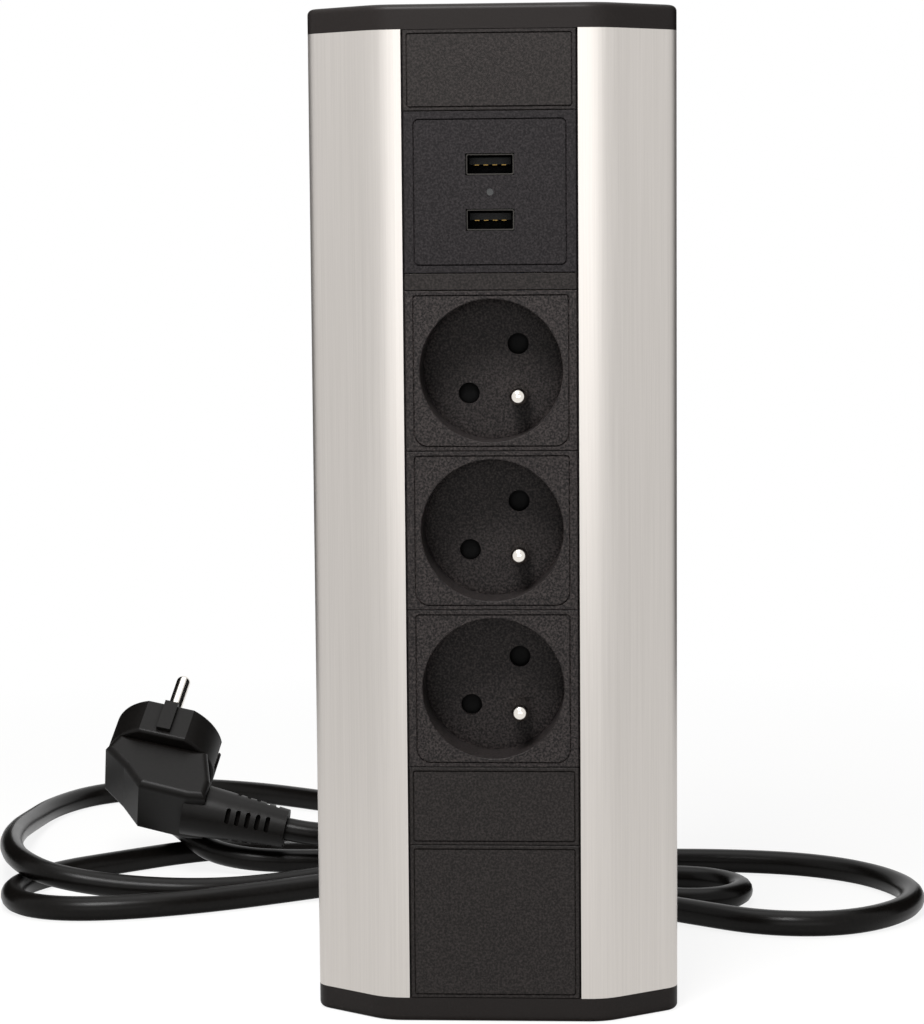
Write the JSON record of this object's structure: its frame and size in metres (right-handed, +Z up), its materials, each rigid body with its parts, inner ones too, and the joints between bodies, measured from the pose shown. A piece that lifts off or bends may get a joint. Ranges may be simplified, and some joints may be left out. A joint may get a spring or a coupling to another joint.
{
  "type": "corner power strip",
  "caption": "Upright corner power strip: satin aluminium section with black earthed sockets, a USB charger, blank modules, end caps, and a coiled lead with an angled plug",
  "frame": {"origin": "centre of the base under the section, midway between its front plane and its back face", "axes": "+Z up along the section, front with the sockets towards -Y, right seen from the front +X"},
  "size_m": [0.3134, 0.3102, 0.2755],
  "materials": {
    "aluminium_profile": "satin anodised, brushed along its length",
    "black_cap": "smooth satin moulding",
    "black_abs": "fine spark texture",
    "black_charger": "fine texture, slightly smoother",
    "dark_insulator": "plain moulding",
    "white_nylon": "plain moulding",
    "grey_nylon": "plain moulding",
    "green_board": "solder mask",
    "black_parts": "plain",
    "clear_guide": "clear moulding",
    "nickel_pin": "bright nickel plate",
    "nickel_shell": "tinned sheet",
    "gold_contact": "gold flash",
    "brass": "plain",
    "zinc_screw": "zinc plated",
    "spring_steel": "drawn wire",
    "black_pvc": "semi-gloss flexible moulding",
    "cord_pvc": "semi-gloss extruded jacket",
    "brown_pvc": "core insulation",
    "blue_pvc": "core insulation",
    "green_yellow_pvc": "core insulation"
  },
  "bodies": {
    "strip": {"housing_profile": "aluminium_profile", "bottom_cap": "black_cap", "top_cap": "black_cap", "cap_screws": "zinc_screw", "blank_full_bottom": "black_abs", "blank_half_bottom": "black_abs", "blank_top": "black_abs", "spacer_strip": "black_abs", "usb_cover": "black_charger", "usb_housing": "dark_insulator", "usb_board": "green_board", "usb_parts": "black_parts", "usb_contacts": "gold_contact", "usb_light_pipe": "clear_guide", "terminal_block": "white_nylon", "terminal_screws": "zinc_screw", "cord_clamp": "grey_nylon", "clamp_screws": "zinc_screw", "cord_inlet": "black_pvc", "cord_tail": "cord_pvc", "power_cord": "cord_pvc", "plug_body": "black_pvc", "plug_pins": "nickel_pin", "plug_earth_clips": "nickel_pin", "usb_shell_lower": "nickel_shell", "usb_shell_upper": "nickel_shell", "usb_tongue_lower": "dark_insulator", "usb_tongue_upper": "dark_insulator", "socket_cover_1": "black_abs", "socket_base_1": "dark_insulator", "contacts_1": "brass", "earth_pin_1": "nickel_pin", "shutter_spring_1": "spring_steel", "socket_cover_2": "black_abs", "socket_base_2": "dark_insulator", "contacts_2": "brass", "earth_pin_2": "nickel_pin", "shutter_spring_2": "spring_steel", "socket_cover_3": "black_abs", "socket_base_3": "dark_insulator", "contacts_3": "brass", "earth_pin_3": "nickel_pin", "shutter_spring_3": "spring_steel", "wire_live": "brown_pvc", "core_live": "brown_pvc", "wire_neutral": "blue_pvc", "core_neutral": "blue_pvc", "wire_earth": "green_yellow_pvc", "core_earth": "green_yellow_pvc"},
    "shutter_body_1": {"shutter_1": "dark_insulator"},
    "shutter_body_2": {"shutter_2": "dark_insulator"},
    "shutter_body_3": {"shutter_3": "dark_insulator"}
  },
  "joints": [
    {"name": "shutter_1_slide", "type": "slide", "parent": "strip", "child": "shutter_body_1", "axis": [-0.7071, 0, 0.7071], "range_m": [0, 0.006], "stiffness_N_per_m": 60, "springref_m": -0.003, "deforming": ["shutter_spring_1"]},
    {"name": "shutter_2_slide", "type": "slide", "parent": "strip", "child": "shutter_body_2", "axis": [-0.7071, 0, 0.7071], "range_m": [0, 0.006], "stiffness_N_per_m": 60, "springref_m": -0.003, "deforming": ["shutter_spring_2"]},
    {"name": "shutter_3_slide", "type": "slide", "parent": "strip", "child": "shutter_body_3", "axis": [-0.7071, 0, 0.7071], "range_m": [0, 0.006], "stiffness_N_per_m": 60, "springref_m": -0.003, "deforming": ["shutter_spring_3"]}
  ]
}
